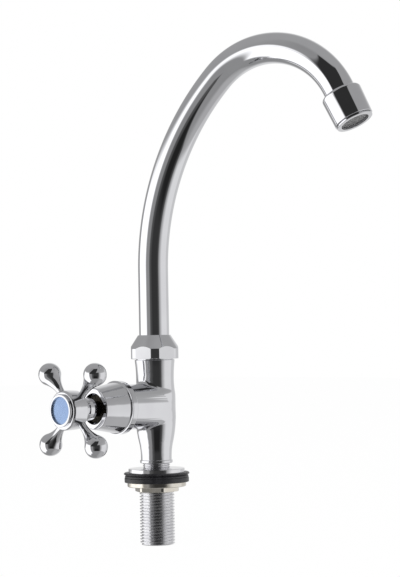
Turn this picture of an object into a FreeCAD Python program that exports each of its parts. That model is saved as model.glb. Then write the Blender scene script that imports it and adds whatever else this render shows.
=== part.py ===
import FreeCAD, Part
import math
import os
import Sketcher
from FreeCAD import Placement, Rotation, Vector

# Cold-water sink tap: a column on a threaded shank, a screw-down valve with a cross handle on its side,
# and a swan-neck spout that swivels on top.
# Millimetres. Z is the tap's axis, and z = 0 is the worktop's upper face, under the deck gasket.
# The handle points along -X. The spout rests turned a little from -Y towards +X, as it was photographed.
os.makedirs("parts", exist_ok=True)
doc = FreeCAD.newDocument("sink_tap")

SIZES = {
    # clearances between pieces that turn or slide in each other
    "running_fit": 0.07,
    "free_gap": 0.3,
    # hexagons: how far a chamfered corner stands out, and how far a cutter runs past its work
    "hex_corner_share": 1.12,
    "cutter_overrun": 1.0,
    # shank and foot
    "shank_thread_radius": 10.4775,
    "shank_thread_pitch": 1.814,
    "shank_thread_depth": 1.16,
    "shank_crest_width": 0.3,
    "shank_root_width": 0.15,
    "shank_below_deck": 40.3,
    "shank_chamfer": 0.9,
    "shank_bore_radius": 6.0,
    "foot_flange_radius": 17.0,
    "foot_flange_edge": 2.4,
    "foot_flange_rise": 0.5,
    "foot_flange_round": 0.5,
    "foot_cone_radius": 10.6,
    "neck_thread_radius": 8.33,
    "neck_showing": 2.7,
    "neck_engagement": 10.5,
    # gaskets and backnut
    "gasket_radius": 19.2,
    "gasket_thickness": 3.1,
    "gasket_lip": 0.6,
    "gasket_groove": 0.5,
    "under_gasket_overhang": 0.25,
    "under_gasket_thickness": 2.8,
    "backnut_flange_radius": 17.75,
    "backnut_flange_thickness": 2.7,
    "backnut_across_flats": 24.0,
    "backnut_hex_height": 2.9,
    "backnut_chamfer": 0.4,
    "backnut_turn": 32.6,
    # column
    "handle_height": 43.1,
    "column_above_handle": 27.9,
    "foot_ring_radius": 9.85,
    "foot_ring_height": 1.9,
    "foot_ring_round": 0.4,
    "column_waist_radius": 9.3,
    "waist_above_foot": 3.7,
    "column_belly_radius": 12.2,
    "belly_below_handle": 5.5,
    "belly_above_handle": 3.0,
    "belly_curve_share": 0.35,
    "column_neck_radius": 11.4,
    "neck_below_top": 11.5,
    "column_top_radius": 12.1,
    "column_edge_round": 0.5,
    "saddle_round": 1.6,
    # side port and seat
    "port_reach": 31.5,
    "port_radius": 13.3,
    "port_dome_at": 1.8,
    "port_collar_step": 2.6,
    "port_collar_length": 4.2,
    "port_collar_round": 0.9,
    "port_thread_radius": 10.45,
    "port_thread_length": 11.5,
    "valve_chamber_radius": 9.3,
    "valve_chamber_floor": 6.5,
    "seat_height": 2.5,
    "seat_radius": 4.9,
    "seat_hole_radius": 3.7,
    # spout socket and spout nut
    "top_thread_radius": 11.4,
    "top_thread_length": 6.0,
    "socket_radius": 9.1,
    "socket_depth": 20.0,
    "spout_waterway_radius": 7.4,
    "passage_radius": 3.5,
    "passage_offset": 6.5,
    "nut_gap": 0.5,
    "nut_height": 14.3,
    "nut_cone_height": 8.2,
    "nut_round_radius": 15.2,
    "nut_across_flats": 28.5,
    "nut_top_rim": 0.45,
    "nut_chamfer": 0.35,
    "nut_turn": 19.0,
    # spout
    "spout_turn": 15.0,
    "tube_radius": 9.1,
    "tube_wall": 1.0,
    "spout_rise": 38.8,
    "first_bend_radius": 157.0,
    "first_bend_angle": 46.1,
    "second_bend_radius": 50.65,
    "second_bend_angle": 106.8,
    "straight_end": 2.5,
    "tail_collar_radius": 10.7,
    "tail_collar_height": 2.0,
    "tail_wall": 2.7,
    "tail_spigot_length": 10.0,
    "tail_length": 19.0,
    "o_ring_thickness": 1.7,
    "o_ring_width": 2.2,
    "first_o_ring": 8.8,
    "o_ring_spacing": 6.0,
    "slip_ring_height": 1.5,
    "slip_ring_gap": 0.1,
    # outlet
    "nozzle_top_radius": 11.85,
    "nozzle_end_radius": 11.45,
    "nozzle_length": 18.4,
    "nozzle_shoulder_round": 1.9,
    "nozzle_chamfer": 0.25,
    "tube_in_nozzle": 4.0,
    "nozzle_ledge": 1.0,
    "nozzle_chamber": 2.0,
    "nozzle_waterway_radius": 7.2,
    "aerator_thread_radius": 10.1,
    "aerator_washer_thickness": 1.5,
    "aerator_rim_gap": 0.35,
    "aerator_rim_radius": 10.9,
    "aerator_rim_thickness": 0.95,
    "aerator_rim_round": 0.3,
    "aerator_neck_radius": 9.6,
    "aerator_bore_radius": 8.7,
    "aerator_lip": 0.3,
    "mesh_recess": 1.5,
    "mesh_thickness": 0.5,
    "mesh_hole_radius": 0.55,
    "mesh_hole_pitch": 1.7,
    "cartridge_bore_radius": 4.5,
    "cartridge_core_radius": 2.2,
    "cartridge_web": 1.6,
    "cartridge_wall": 1.0,
    # bonnet, packing and shroud
    "seal_thickness": 1.2,
    "headwork_hex_length": 5.5,
    "headwork_across_flats": 19.0,
    "headwork_barrel_radius": 7.4,
    "headwork_barrel_length": 6.0,
    "headwork_nose_round": 0.5,
    "packing_radius": 6.6,
    "packing_thickness": 2.4,
    "packing_depth": 4.0,
    "gland_across_flats": 16.0,
    "gland_height": 5.6,
    "gland_wall": 2.0,
    "shroud_web": 1.0,
    "shroud_radius": 12.25,
    "shroud_wall": 0.95,
    "shroud_length": 17.4,
    "shroud_cone_radius": 15.0,
    "shroud_foot_radius": 16.0,
    "shroud_foot_edge": 0.6,
    "shroud_flare": 1.2,
    "shroud_mouth_radius": 9.3,
    "shroud_mouth_lip": 1.0,
    "shroud_mouth_round": 0.6,
    "spanner_slot_width": 5.0,
    "spanner_slot_depth": 2.2,
    # valve
    "lift": 4.0,
    "washer_radius": 6.3,
    "washer_thickness": 3.0,
    "jumper_rim": 0.65,
    "jumper_rim_height": 1.2,
    "jumper_plate": 2.0,
    "jumper_stem_radius": 2.4,
    "jumper_stem_length": 10.0,
    "stud_radius": 1.95,
    "stud_past_nut": 0.3,
    "washer_nut_across_flats": 5.5,
    "washer_nut_height": 1.8,
    # spindle
    "spindle_end_gap": 0.3,
    "stop_collar_radius": 6.0,
    "stop_gap": 0.1,
    "spindle_thread_radius": 5.6,
    "spindle_thread_length": 12.9,
    "spindle_radius": 4.5,
    "spline_radius": 4.0,
    "spline_length": 9.3,
    "spline_tooth_depth": 0.5,
    "spline_teeth": 20,
    "screw_radius": 1.9,
    "screw_length": 10.0,
    "screw_head_radius": 3.8,
    "screw_head_height": 2.4,
    "screw_slot_width": 1.0,
    "screw_slot_depth": 1.1,
    # cross handle, measured from its bush end
    "bush_from_shroud": 2.8,
    "bush_radius": 6.7,
    "bush_length": 4.4,
    "bush_round": 0.3,
    "bush_groove_radius": 5.9,
    "hub_back": 10.3,
    "hub_back_radius": 11.3,
    "hub_back_round": 0.6,
    "hub_bulge_radius": 90.0,
    "hub_widest": 19.4,
    "hub_radius": 11.6,
    "hub_front": 20.9,
    "hub_front_radius": 10.3,
    "hub_counterbore_radius": 5.0,
    "hub_web": 4.3,
    "arm_plane": 12.9,
    "arm_waist_radius": 2.15,
    "arm_waist_at": 13.5,
    "arm_root_at": 8.0,
    "ball_centre_at": 29.2,
    "ball_radius": 6.75,
    "arm_count": 4,
    "arm_turn": 45.0,
    # index cap and disc
    "cap_radius": 9.6,
    "cap_thickness": 1.7,
    "cap_round": 0.6,
    "cap_plug_depth": 3.3,
    "disc_radius": 8.0,
    "disc_thickness": 0.4,
    "disc_recess": 1.4,
}
WHOLE_TURN = 360

sheet = doc.addObject("Spreadsheet::Sheet", "Sizes")
for row, (alias, value) in enumerate(SIZES.items(), 1):
    sheet.set(f"A{row}", alias)
    sheet.set(f"B{row}", str(value))
    sheet.setAlias(f"B{row}", alias)
doc.recompute()


class Size:
    """A size that knows its number now and the sheet formula that it follows."""

    def __init__(self, number, formula):
        self.number = number
        self.formula = formula

    def __add__(self, other):
        return joined(self, "+", other, self.number + number_of(other))

    def __sub__(self, other):
        return joined(self, "-", other, self.number - number_of(other))

    def __mul__(self, other):
        return joined(self, "*", other, self.number * number_of(other))

    def __truediv__(self, other):
        return joined(self, "/", other, self.number / number_of(other))

    def __neg__(self):
        return joined(0, "-", self, -self.number)


def number_of(size):
    return size.number if isinstance(size, Size) else float(size)


def formula_of(size):
    return size.formula if isinstance(size, Size) else f"{float(size)}"


def joined(first, sign, second, number):
    return Size(number, f"({formula_of(first)} {sign} {formula_of(second)})")


def sine(angle):
    return Size(math.sin(math.radians(angle.number)), f"sin({angle.formula})")


def cosine(angle):
    return Size(math.cos(math.radians(angle.number)), f"cos({angle.formula})")


def root(size):
    return Size(math.sqrt(size.number), f"sqrt({size.formula})")


def sized(alias):
    return Size(float(getattr(sheet, alias)), f"{sheet.Name}.{alias}")


def bend_radius(along, across):
    """Radius of an arc that starts along one direction and drifts sideways by across over along."""
    return (along * along + across * across) / (across * 2)


def bind(thing, prop, size):
    thing.setExpression(prop, formula_of(size))


# Each piece is kept with its label, which names its node and its file.
pieces = []


def keep(thing, label):
    thing.Label = label
    pieces.append(thing)
    return thing


def new_body(label):
    return keep(doc.addObject("PartDesign::Body", label), label)


def plane_of(body, role):
    return next(f for f in body.Origin.OriginFeatures if f.Role == role)


def attach(sketch, body, role, up=0, turned_round=False, along=0):
    """Lays a sketch on one of its body's planes, moved up the page or along its normal."""
    sketch.AttachmentSupport = (plane_of(body, role), "")
    sketch.MapMode = "FlatFace"
    half_turn = Rotation(Vector(0, 1, 0), 180 if turned_round else 0)
    sketch.AttachmentOffset = Placement(Vector(0, number_of(up), number_of(along)), half_turn)
    if isinstance(up, Size):
        bind(sketch, "AttachmentOffset.Base.y", up)
    if isinstance(along, Size):
        bind(sketch, "AttachmentOffset.Base.z", along)


def hold(sketch, kind, places, size, name):
    """Adds a dimension to a sketch and ties it to the sheet."""
    index = sketch.addConstraint(Sketcher.Constraint(kind, *places, number_of(size)))
    if isinstance(size, Size):
        sketch.renameConstraint(index, name)
        bind(sketch, f"Constraints.{name}", size)


def pin_point(sketch, edge, end, across, up, name):
    """Fixes a vertex at its distances from the sketch's origin."""
    if isinstance(across, Size):
        hold(sketch, "DistanceX", (-1, 1, edge, end), across, f"across_{name}")
    else:
        sketch.addConstraint(Sketcher.Constraint("PointOnObject", edge, end, -2))
    if isinstance(up, Size):
        hold(sketch, "DistanceY", (-1, 1, edge, end), up, f"up_{name}")
    else:
        sketch.addConstraint(Sketcher.Constraint("PointOnObject", edge, end, -1))


def arc_between(start, end, radius):
    """Arc under half a turn, with its centre on the left of the way from start to end if radius > 0."""
    chord = end - start
    rise = math.sqrt(max(radius * radius - chord.Length**2 / 4, 0))
    left = Vector(-chord.y, chord.x, 0).normalize()
    centre = (start + end) / 2 + left * (rise if radius > 0 else -rise)
    first, last = (start, end) if radius > 0 else (end, start)
    angles = [math.atan2(p.y - centre.y, p.x - centre.x) for p in (first, last)]
    return Part.ArcOfCircle(Part.Circle(centre, Vector(0, 0, 1), abs(radius)), *angles)


def draw(sketch, points, closed=True):
    """Draws points (across, up) joined by lines; a third entry bends the edge that ends there."""
    spots = [Vector(number_of(p[0]), number_of(p[1]), 0) for p in points]
    ends = []
    last = len(points) if closed else len(points) - 1
    for i in range(last):
        j = (i + 1) % len(points)
        if len(points[j]) == 3:
            radius = points[j][2]
            edge = sketch.addGeometry(arc_between(spots[i], spots[j], number_of(radius)))
            ends.append((edge, 1, 2) if number_of(radius) > 0 else (edge, 2, 1))
            size = radius if number_of(radius) > 0 else -radius
            hold(sketch, "Radius", (edge,), size, f"bend_{i}")
        else:
            edge = sketch.addGeometry(Part.LineSegment(spots[i], spots[j]))
            ends.append((edge, 1, 2))
    for i, (edge, start, _) in enumerate(ends):
        pin_point(sketch, edge, start, points[i][0], points[i][1], str(i))
        if i or closed:
            before = ends[i - 1]
            sketch.addConstraint(Sketcher.Constraint("Coincident", before[0], before[2], edge, start))
    if not closed:
        edge, _, end = ends[-1]
        pin_point(sketch, edge, end, points[-1][0], points[-1][1], str(last))


def new_sketch(body, name, role="XZ_Plane", **place):
    sketch = body.newObject("Sketcher::SketchObject", name)
    attach(sketch, body, role, **place)
    return sketch


def turned(body, name, points, cut=False, axis="V_Axis", **place):
    """Turns an outline round an axis of its sketch, as a solid or as a cut."""
    sketch = new_sketch(body, f"{name}_outline", **place)
    draw(sketch, points)
    feature = body.newObject("PartDesign::Groove" if cut else "PartDesign::Revolution", name)
    feature.Profile = sketch
    feature.ReferenceAxis = (sketch, [axis])
    feature.Angle = WHOLE_TURN
    sketch.Visibility = False
    return feature


def pocketed(body, name, points, start, depth, circle=None):
    """Cuts an outline, or a round hole (across, up, radius), from a height upwards."""
    sketch = new_sketch(body, f"{name}_outline", role="XY_Plane", along=start)
    if circle:
        across, up, radius = circle
        spot = Vector(number_of(across), number_of(up), 0)
        edge = sketch.addGeometry(Part.Circle(spot, Vector(0, 0, 1), number_of(radius)))
        pin_point(sketch, edge, 3, across, up, "middle")
        hold(sketch, "Radius", (edge,), radius, "hole_radius")
    else:
        draw(sketch, points)
    feature = body.newObject("PartDesign::Pocket", name)
    feature.Profile = sketch
    feature.Reversed = True
    feature.Length = number_of(depth)
    bind(feature, "Length", depth)
    return feature


def repeated(body, name, feature, count):
    """Repeats a feature evenly round the body's upright axis."""
    pattern = body.newObject("PartDesign::PolarPattern", name)
    pattern.Originals = [feature]
    pattern.Axis = (feature.Profile[0], ["N_Axis"])
    pattern.Angle = WHOLE_TURN
    pattern.Occurrences = int(number_of(count))
    bind(pattern, "Occurrences", count)
    body.Tip = pattern
    return pattern


def six_flats(body, name, across_flats, round_radius, start, height):
    """Mills six flats round a turned blank."""
    half = across_flats / 2
    beyond = round_radius + sized("cutter_overrun")
    corners = [(half, -round_radius), (beyond, -round_radius), (beyond, round_radius), (half, round_radius)]
    flat = pocketed(body, f"{name}_flat", corners, start, height)
    return repeated(body, f"{name}_flats", flat, Size(6.0, "6"))


def ring(label, inner, outer, bottom, height):
    """A plain turned ring."""
    body = new_body(label)
    top = bottom + height
    turned(body, "ring", [(inner, bottom), (outer, bottom), (outer, top), (inner, top)])
    return body


def lay_on_handle_axis(thing, spin=0):
    """Turns a piece so that its own upright axis runs along -X at the handle's height."""
    tilt = Rotation(Vector(0, 1, 0), -90) * Rotation(Vector(0, 0, 1), spin)
    thing.Placement = Placement(Vector(0, 0, handle_height.number), tilt)
    bind(thing, "Placement.Base.z", handle_height)


free_gap = sized("free_gap")
running_fit = sized("running_fit")
handle_height = sized("handle_height")

# Threaded shank: one turned piece with the inlet thread, the foot flange and the neck thread above it.
shank_radius = sized("shank_thread_radius")
shank_end = -sized("shank_below_deck")
shank_chamfer = sized("shank_chamfer")
shank_bore = sized("shank_bore_radius")
gasket_thickness = sized("gasket_thickness")
flange_edge_top = gasket_thickness + sized("foot_flange_edge")
flange_top = flange_edge_top + sized("foot_flange_rise")
column_foot = flange_top + sized("neck_showing")
neck_radius = sized("neck_thread_radius")
neck_top = column_foot + sized("neck_engagement")
flange_radius = sized("foot_flange_radius")
cone_radius = sized("foot_cone_radius")
flange_round = sized("foot_flange_round")

shank = new_body("threaded_shank")
turned(
    shank,
    "shank_blank",
    [
        (shank_bore, shank_end),
        (shank_radius - shank_chamfer, shank_end),
        (shank_radius, shank_end + shank_chamfer),
        (shank_radius, gasket_thickness),
        (flange_radius, gasket_thickness),
        (flange_radius, flange_edge_top - flange_round),
        (flange_radius - flange_round, flange_edge_top, flange_round),
        (cone_radius, flange_top),
        (neck_radius, flange_top),
        (neck_radius, neck_top),
        (shank_bore, neck_top),
    ],
)
thread_pitch = sized("shank_thread_pitch")
thread_root = shank_radius - sized("shank_thread_depth")
thread_outside = shank_radius + sized("shank_thread_depth")
thread_start = shank_end - thread_pitch
groove_half = (thread_pitch - sized("shank_crest_width")) / 2
groove_root = sized("shank_root_width") / 2
thread_outline = new_sketch(shank, "thread_outline")
draw(
    thread_outline,
    [
        (thread_root, thread_start - groove_root),
        (shank_radius, thread_start - groove_half),
        (thread_outside, thread_start - groove_half),
        (thread_outside, thread_start + groove_half),
        (shank_radius, thread_start + groove_half),
        (thread_root, thread_start + groove_root),
    ],
)
thread = shank.newObject("PartDesign::SubtractiveHelix", "inlet_thread")
thread.Profile = thread_outline
thread.ReferenceAxis = (thread_outline, ["V_Axis"])
thread.Mode = "pitch-height-angle"
thread.Angle = 0
thread.LeftHanded = False
thread.Reversed = False
bind(thread, "Pitch", thread_pitch)
bind(thread, "Height", thread_pitch - shank_end)

# Deck gasket: rubber, with a thin lip round its top and a shallow groove round its side.
gasket_radius = sized("gasket_radius")
lip_radius = gasket_radius + sized("gasket_lip")
gasket = new_body("deck_gasket")
gasket_middle = gasket_thickness / 2
gasket_groove = sized("gasket_groove")
turned(
    gasket,
    "gasket",
    [
        (shank_radius + running_fit, 0),
        (gasket_radius, 0),
        (gasket_radius, gasket_middle - gasket_groove),
        (gasket_radius - gasket_groove, gasket_middle),
        (lip_radius, gasket_middle + gasket_groove),
        (lip_radius, gasket_thickness - gasket_groove),
        (gasket_radius, gasket_thickness),
        (shank_radius + running_fit, gasket_thickness),
    ],
)

# Gasket under the worktop, and the flanged backnut that pushes it up.
under_thickness = sized("under_gasket_thickness")
under_gasket = ring(
    "under_gasket",
    shank_radius + free_gap,
    gasket_radius + sized("under_gasket_overhang"),
    -under_thickness,
    under_thickness,
)
backnut_radius = sized("backnut_flange_radius")
backnut_flats = sized("backnut_across_flats")
corner_share = sized("hex_corner_share")
backnut_corner = backnut_flats / 2 * corner_share
flange_bottom = -under_thickness - sized("backnut_flange_thickness")
backnut_bottom = flange_bottom - sized("backnut_hex_height")
backnut_chamfer = sized("backnut_chamfer")
backnut_bore = shank_radius + running_fit
backnut = new_body("backnut")
turned(
    backnut,
    "backnut_blank",
    [
        (backnut_bore + backnut_chamfer, backnut_bottom),
        (backnut_corner - backnut_chamfer, backnut_bottom),
        (backnut_corner, backnut_bottom + backnut_chamfer),
        (backnut_corner, flange_bottom),
        (backnut_radius - backnut_chamfer, flange_bottom),
        (backnut_radius, flange_bottom + backnut_chamfer),
        (backnut_radius, -under_thickness),
        (backnut_bore, -under_thickness),
        (backnut_bore, backnut_bottom + backnut_chamfer),
    ],
)
six_flats(
    backnut,
    "backnut",
    backnut_flats,
    backnut_corner,
    backnut_bottom,
    sized("backnut_hex_height"),
)
backnut.Placement = Placement(Vector(), Rotation(Vector(0, 0, 1), SIZES["backnut_turn"]))
bind(backnut, "Placement.Rotation.Angle", sized("backnut_turn"))

# Tap body: the turned column, the side port with its collar, the valve seat and the waterways.
column_top = handle_height + sized("column_above_handle")
ring_radius = sized("foot_ring_radius")
ring_round = sized("foot_ring_round")
ring_top = column_foot + sized("foot_ring_height")
waist_radius = sized("column_waist_radius")
waist_height = column_foot + sized("waist_above_foot")
belly_radius = sized("column_belly_radius")
belly_low = handle_height - sized("belly_below_handle")
belly_high = handle_height + sized("belly_above_handle")
curve_share = sized("belly_curve_share")
lower_across = (belly_radius - waist_radius) * curve_share
lower_up = (belly_low - waist_height) * curve_share
upper_across = (belly_radius - waist_radius) - lower_across
upper_up = (belly_low - waist_height) - lower_up
neck_of_column = sized("column_neck_radius")
neck_height = column_top - sized("neck_below_top")
shoulder_across = (belly_radius - neck_of_column) / 2
shoulder_up = (neck_height - belly_high) / 2
top_radius = sized("column_top_radius")
edge_round = sized("column_edge_round")
flare_up = column_top - edge_round - neck_height
thread_top = column_top + sized("top_thread_length")
top_thread_radius = sized("top_thread_radius")

tap_body = new_body("tap_body")
turned(
    tap_body,
    "column",
    [
        (0, column_foot),
        (ring_radius - ring_round, column_foot),
        (ring_radius, column_foot + ring_round, ring_round),
        (ring_radius, ring_top - ring_round),
        (ring_radius - ring_round, ring_top, ring_round),
        (waist_radius, ring_top),
        (waist_radius, waist_height),
        (waist_radius + lower_across, waist_height + lower_up, -bend_radius(lower_up, lower_across)),
        (belly_radius, belly_low, bend_radius(upper_up, upper_across)),
        (belly_radius, belly_high),
        (
            belly_radius - shoulder_across,
            belly_high + shoulder_up,
            bend_radius(shoulder_up, shoulder_across),
        ),
        (neck_of_column, neck_height, -bend_radius(shoulder_up, shoulder_across)),
        (top_radius, column_top - edge_round, -bend_radius(flare_up, top_radius - neck_of_column)),
        (top_radius - edge_round, column_top, edge_round),
        (top_thread_radius, column_top),
        (top_thread_radius, thread_top - edge_round),
        (top_thread_radius - edge_round, thread_top),
        (0, thread_top),
    ],
)

port_face = sized("port_reach")
port_radius = sized("port_radius")
dome_at = sized("port_dome_at")
collar_radius = port_radius + sized("port_collar_step")
collar_start = port_face - sized("port_collar_length")
collar_round = sized("port_collar_round")
port = turned(
    tap_body,
    "port",
    [
        (dome_at - port_radius, 0, port_radius),
        (port_face, 0),
        (port_face, collar_radius - edge_round),
        (port_face - edge_round, collar_radius, edge_round),
        (collar_start + collar_round, collar_radius),
        (collar_start, collar_radius - collar_round, collar_round),
        (collar_start, port_radius),
        (dome_at, port_radius),
    ],
    axis="H_Axis",
    up=handle_height,
    turned_round=True,
)
doc.recompute()


def saddle_edges(shape):
    """The edges where the round port runs into the column."""
    names = []
    for i, edge in enumerate(shape.Edges, 1):
        box = edge.BoundBox
        if edge.Degenerated or edge.Curve.TypeId != "Part::GeomBSplineCurve":
            continue
        if box.XMax < 0 and box.YLength > port_radius.number:
            names.append(f"Edge{i}")
    return names


saddle = tap_body.newObject("PartDesign::Fillet", "saddle")
saddle.Base = (port, saddle_edges(port.Shape))
bind(saddle, "Radius", sized("saddle_round"))

socket_radius = sized("socket_radius")
socket_floor = thread_top - sized("socket_depth")
waterway_radius = sized("spout_waterway_radius")
passage_floor = handle_height + sized("seat_radius") + free_gap
turned(
    tap_body,
    "spout_socket",
    [
        (0, passage_floor),
        (waterway_radius, passage_floor),
        (waterway_radius, socket_floor),
        (socket_radius, socket_floor),
        (socket_radius, thread_top),
        (0, thread_top),
    ],
    cut=True,
)

thread_floor = port_face - sized("port_thread_length")
chamber_radius = sized("valve_chamber_radius")
chamber_floor = sized("valve_chamber_floor")
seat_face = chamber_floor + sized("seat_height")
seat_radius = sized("seat_radius")
seat_hole = sized("seat_hole_radius")
port_thread = sized("port_thread_radius")
turned(
    tap_body,
    "port_bore",
    [
        (0, 0),
        (0, seat_hole),
        (seat_face, seat_hole),
        (seat_face, seat_radius),
        (chamber_floor, seat_radius),
        (chamber_floor, chamber_radius),
        (thread_floor, chamber_radius),
        (thread_floor, port_thread),
        (port_face, port_thread),
        (port_face, 0),
    ],
    cut=True,
    axis="H_Axis",
    up=handle_height,
    turned_round=True,
)
inlet_bore = seat_face - seat_hole
pocketed(
    tap_body,
    "inlet_bore",
    None,
    column_foot,
    handle_height + seat_hole / 2 - column_foot,
    circle=(0, 0, inlet_bore),
)
pocketed(
    tap_body,
    "neck_socket",
    None,
    column_foot,
    sized("neck_engagement"),
    circle=(0, 0, neck_radius),
)
pocketed(
    tap_body,
    "passage",
    None,
    passage_floor,
    socket_floor - passage_floor,
    circle=(-sized("passage_offset"), 0, sized("passage_radius")),
)

# Spout nut: a turned cone blank with six milled flats, over the column's top thread.
tube_radius = sized("tube_radius")
nut_bottom = column_top + sized("nut_gap")
nut_top = nut_bottom + sized("nut_height")
cone_bottom = nut_top - sized("nut_cone_height")
nut_round = sized("nut_round_radius")
nut_chamfer = sized("nut_chamfer")
nut_hole = tube_radius + free_gap
nut_crown = nut_hole + sized("nut_top_rim")
collar_top = thread_top + sized("tail_collar_height")
slip_top = collar_top + sized("slip_ring_height")
nut_shoulder = slip_top + sized("slip_ring_gap")
spout_nut = new_body("spout_nut")
turned(
    spout_nut,
    "nut_blank",
    [
        (top_thread_radius, nut_bottom),
        (nut_round - nut_chamfer, nut_bottom),
        (nut_round, nut_bottom + nut_chamfer),
        (nut_round, cone_bottom),
        (nut_crown, nut_top),
        (nut_hole, nut_top),
        (nut_hole, nut_shoulder),
        (top_thread_radius, nut_shoulder),
    ],
)
six_flats(
    spout_nut, "nut", sized("nut_across_flats"), nut_round, nut_bottom, sized("nut_height")
)
spout_nut.Placement = Placement(Vector(), Rotation(Vector(0, 0, 1), SIZES["nut_turn"]))
bind(spout_nut, "Placement.Rotation.Angle", sized("nut_turn"))

# Spout tube: a bent round tube that starts on the tail's collar and ends inside the nozzle.
first_radius = sized("first_bend_radius")
first_angle = sized("first_bend_angle")
second_radius = sized("second_bend_radius")
second_angle = sized("second_bend_angle")
whole_angle = first_angle + second_angle
bend_start = nut_top + sized("spout_rise")
first_reach = first_radius * (-cosine(first_angle) + 1)
first_height = bend_start + first_radius * sine(first_angle)
second_reach = first_reach + second_radius * (cosine(first_angle) - cosine(whole_angle))
second_height = first_height + second_radius * (sine(whole_angle) - sine(first_angle))
straight_end = sized("straight_end")
spout_reach = second_reach + straight_end * sine(whole_angle)
spout_end = second_height + straight_end * cosine(whole_angle)
tube_bore = tube_radius - sized("tube_wall")
tube_in_nozzle = sized("tube_in_nozzle")
spout_turn = sized("spout_turn")
spout_tube = new_body("spout_tube")
spout_tube.Placement = Placement(Vector(), Rotation(Vector(0, 0, 1), spout_turn.number))
bind(spout_tube, "Placement.Rotation.Angle", spout_turn)
tube_path = new_sketch(spout_tube, "tube_path", role="YZ_Plane", turned_round=True)
draw(
    tube_path,
    [
        (0, collar_top),
        (0, bend_start),
        (first_reach, first_height, -first_radius),
        (second_reach, second_height, -second_radius),
        (
            spout_reach + tube_in_nozzle * sine(whole_angle),
            spout_end + tube_in_nozzle * cosine(whole_angle),
        ),
    ],
    closed=False,
)


def along_tube(name, kind, radius):
    """Sweeps a circle along the tube's path, as the tube or as its bore."""
    section = new_sketch(spout_tube, f"{name}_section", role="XY_Plane", along=collar_top)
    edge = section.addGeometry(Part.Circle(Vector(), Vector(0, 0, 1), radius.number))
    section.addConstraint(Sketcher.Constraint("Coincident", edge, 3, -1, 1))
    hold(section, "Radius", (edge,), radius, "section_radius")
    pipe = spout_tube.newObject(kind, name)
    pipe.Profile = section
    pipe.Spine = tube_path
    return pipe


along_tube("tube", "PartDesign::AdditivePipe", tube_radius)
along_tube("tube_bore", "PartDesign::SubtractivePipe", tube_bore)

# Spout tail: turned brass end with the collar that the nut traps and two grooves for the O-rings.
tail_radius = socket_radius - running_fit
tail_bottom = thread_top - sized("tail_length")
o_ring_thickness = sized("o_ring_thickness")
o_ring_width = sized("o_ring_width")
groove_floor = socket_radius - o_ring_thickness
groove_places = [
    tail_bottom + sized("first_o_ring") - sized("o_ring_spacing"),
    tail_bottom + sized("first_o_ring"),
]
tail_outline = [(tube_bore - sized("tail_wall"), tail_bottom), (tail_radius, tail_bottom)]
for place in groove_places:
    tail_outline += [
        (tail_radius, place),
        (groove_floor, place),
        (groove_floor, place + o_ring_width),
        (tail_radius, place + o_ring_width),
    ]
tail_outline += [
    (tail_radius, thread_top),
    (sized("tail_collar_radius"), thread_top),
    (sized("tail_collar_radius"), collar_top),
    (tube_bore, collar_top),
    (tube_bore, collar_top + sized("tail_spigot_length")),
    (tube_bore - sized("tail_wall"), collar_top + sized("tail_spigot_length")),
]
spout_tail = new_body("spout_tail")
turned(spout_tail, "tail", tail_outline)

# O-rings: two alike, in the tail's grooves.
o_rings = []
for i, place in enumerate(groove_places, 1):
    o_ring = doc.addObject("Part::Torus", f"o_ring_{i}")
    bind(o_ring, "Radius1", socket_radius - o_ring_thickness / 2)
    bind(o_ring, "Radius2", o_ring_thickness / 2 - running_fit / 2)
    bind(o_ring, "Placement.Base.z", place + o_ring_width / 2)
    o_rings.append(o_ring)
o_ring_pair = keep(doc.addObject("Part::Compound", "spout_o_rings"), "spout_o_rings")
o_ring_pair.Links = o_rings

ring(
    "spout_slip_ring",
    tube_radius + running_fit,
    sized("tail_collar_radius"),
    collar_top,
    sized("slip_ring_height"),
)


def lay_on_outlet(thing):
    """Puts a piece on the turned spout's end, with its own upright axis along the outflow."""
    turn = f"placement(vector(0; 0; 0); rotation(vector(0; 0; 1); {spout_turn.formula}))"
    spot = f"vector(0; {formula_of(-spout_reach)}; {spout_end.formula})"
    tilt = f"rotation(vector(1; 0; 0); {whole_angle.formula})"
    thing.setExpression("Placement", f"{turn} * placement({spot}; {tilt})")


# Nozzle: the sleeve brazed on the tube's end, threaded inside for the aerator.
# Heights run along the outflow from the nozzle's top.
nozzle_length = sized("nozzle_length")
nozzle_top = sized("nozzle_top_radius")
nozzle_end = sized("nozzle_end_radius")
nozzle_round = sized("nozzle_shoulder_round")
nozzle_chamfer = sized("nozzle_chamfer")
aerator_thread = sized("aerator_thread_radius")
nozzle_waterway = sized("nozzle_waterway_radius")
ledge_end = tube_in_nozzle + sized("nozzle_ledge")
washer_seat = ledge_end + sized("nozzle_chamber")
nozzle = new_body("spout_nozzle")
turned(
    nozzle,
    "nozzle",
    [
        (tube_radius, 0),
        (nozzle_top - nozzle_round, 0),
        (nozzle_top, nozzle_round, nozzle_round),
        (nozzle_end, nozzle_length - nozzle_chamfer),
        (nozzle_end - nozzle_chamfer, nozzle_length),
        (aerator_thread, nozzle_length),
        (aerator_thread, washer_seat),
        (nozzle_waterway, washer_seat),
        (nozzle_waterway, tube_in_nozzle),
        (tube_radius, tube_in_nozzle),
    ],
)
lay_on_outlet(nozzle)

washer_thickness = sized("aerator_washer_thickness")
aerator_washer = ring(
    "aerator_washer",
    nozzle_waterway,
    aerator_thread - running_fit,
    washer_seat,
    washer_thickness,
)
lay_on_outlet(aerator_washer)

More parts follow.
